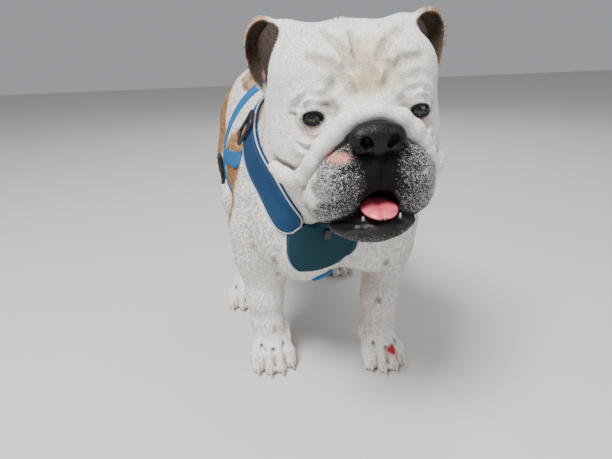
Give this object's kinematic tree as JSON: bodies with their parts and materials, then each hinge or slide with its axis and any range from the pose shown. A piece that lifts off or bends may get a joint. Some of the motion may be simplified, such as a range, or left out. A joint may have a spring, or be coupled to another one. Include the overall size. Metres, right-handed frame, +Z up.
{
  "type": "english bulldog",
  "caption": "Life-size standing english bulldog, museum-style still model, head low and forward, mouth slightly open, in a padded chest harness.",
  "frame": {"origin": "on the floor under the middle of the model's box", "axes": "+Z up, -Y is the way the dog faces, +X is the dog's left"},
  "size_m": [0.282, 0.6963, 0.4875],
  "materials": {
    "coat": "short flat fur, white with tan patches and a grey muzzle",
    "nose_leather": "moist black nose leather",
    "tongue": "wet pink tongue and lips",
    "eye": "glossy dark brown eye",
    "horn": "pale horn claws and teeth",
    "harness_pad": "padded woven polyester, teal blue",
    "harness_webbing": "woven nylon webbing, bright blue",
    "harness_trim": "pale grey piping and stitching",
    "buckle": "moulded black buckles",
    "ring": "welded steel ring"
  },
  "bodies": {
    "root": {"torso": "coat", "neck": "coat", "tail": "coat", "front_right_leg": "coat", "front_right_paw": "coat", "front_left_leg": "coat", "front_left_paw": "coat", "hind_right_leg": "coat", "hind_right_paw": "coat", "hind_left_leg": "coat", "hind_left_paw": "coat", "head": "coat", "lower_jaw": "coat", "ear_left": "coat", "ear_right": "coat", "nose": "nose_leather", "tongue": "tongue", "eye_left": "eye", "eye_right": "eye", "harness_bib": "harness_pad", "harness_saddle": "harness_pad", "harness_strap_right": "harness_pad", "harness_strap_left": "harness_pad", "harness_keel": "harness_webbing", "harness_girth_right": "harness_webbing", "harness_girth_left": "harness_webbing", "harness_side_right": "harness_webbing", "harness_side_left": "harness_webbing"}
  },
  "joints": []
}
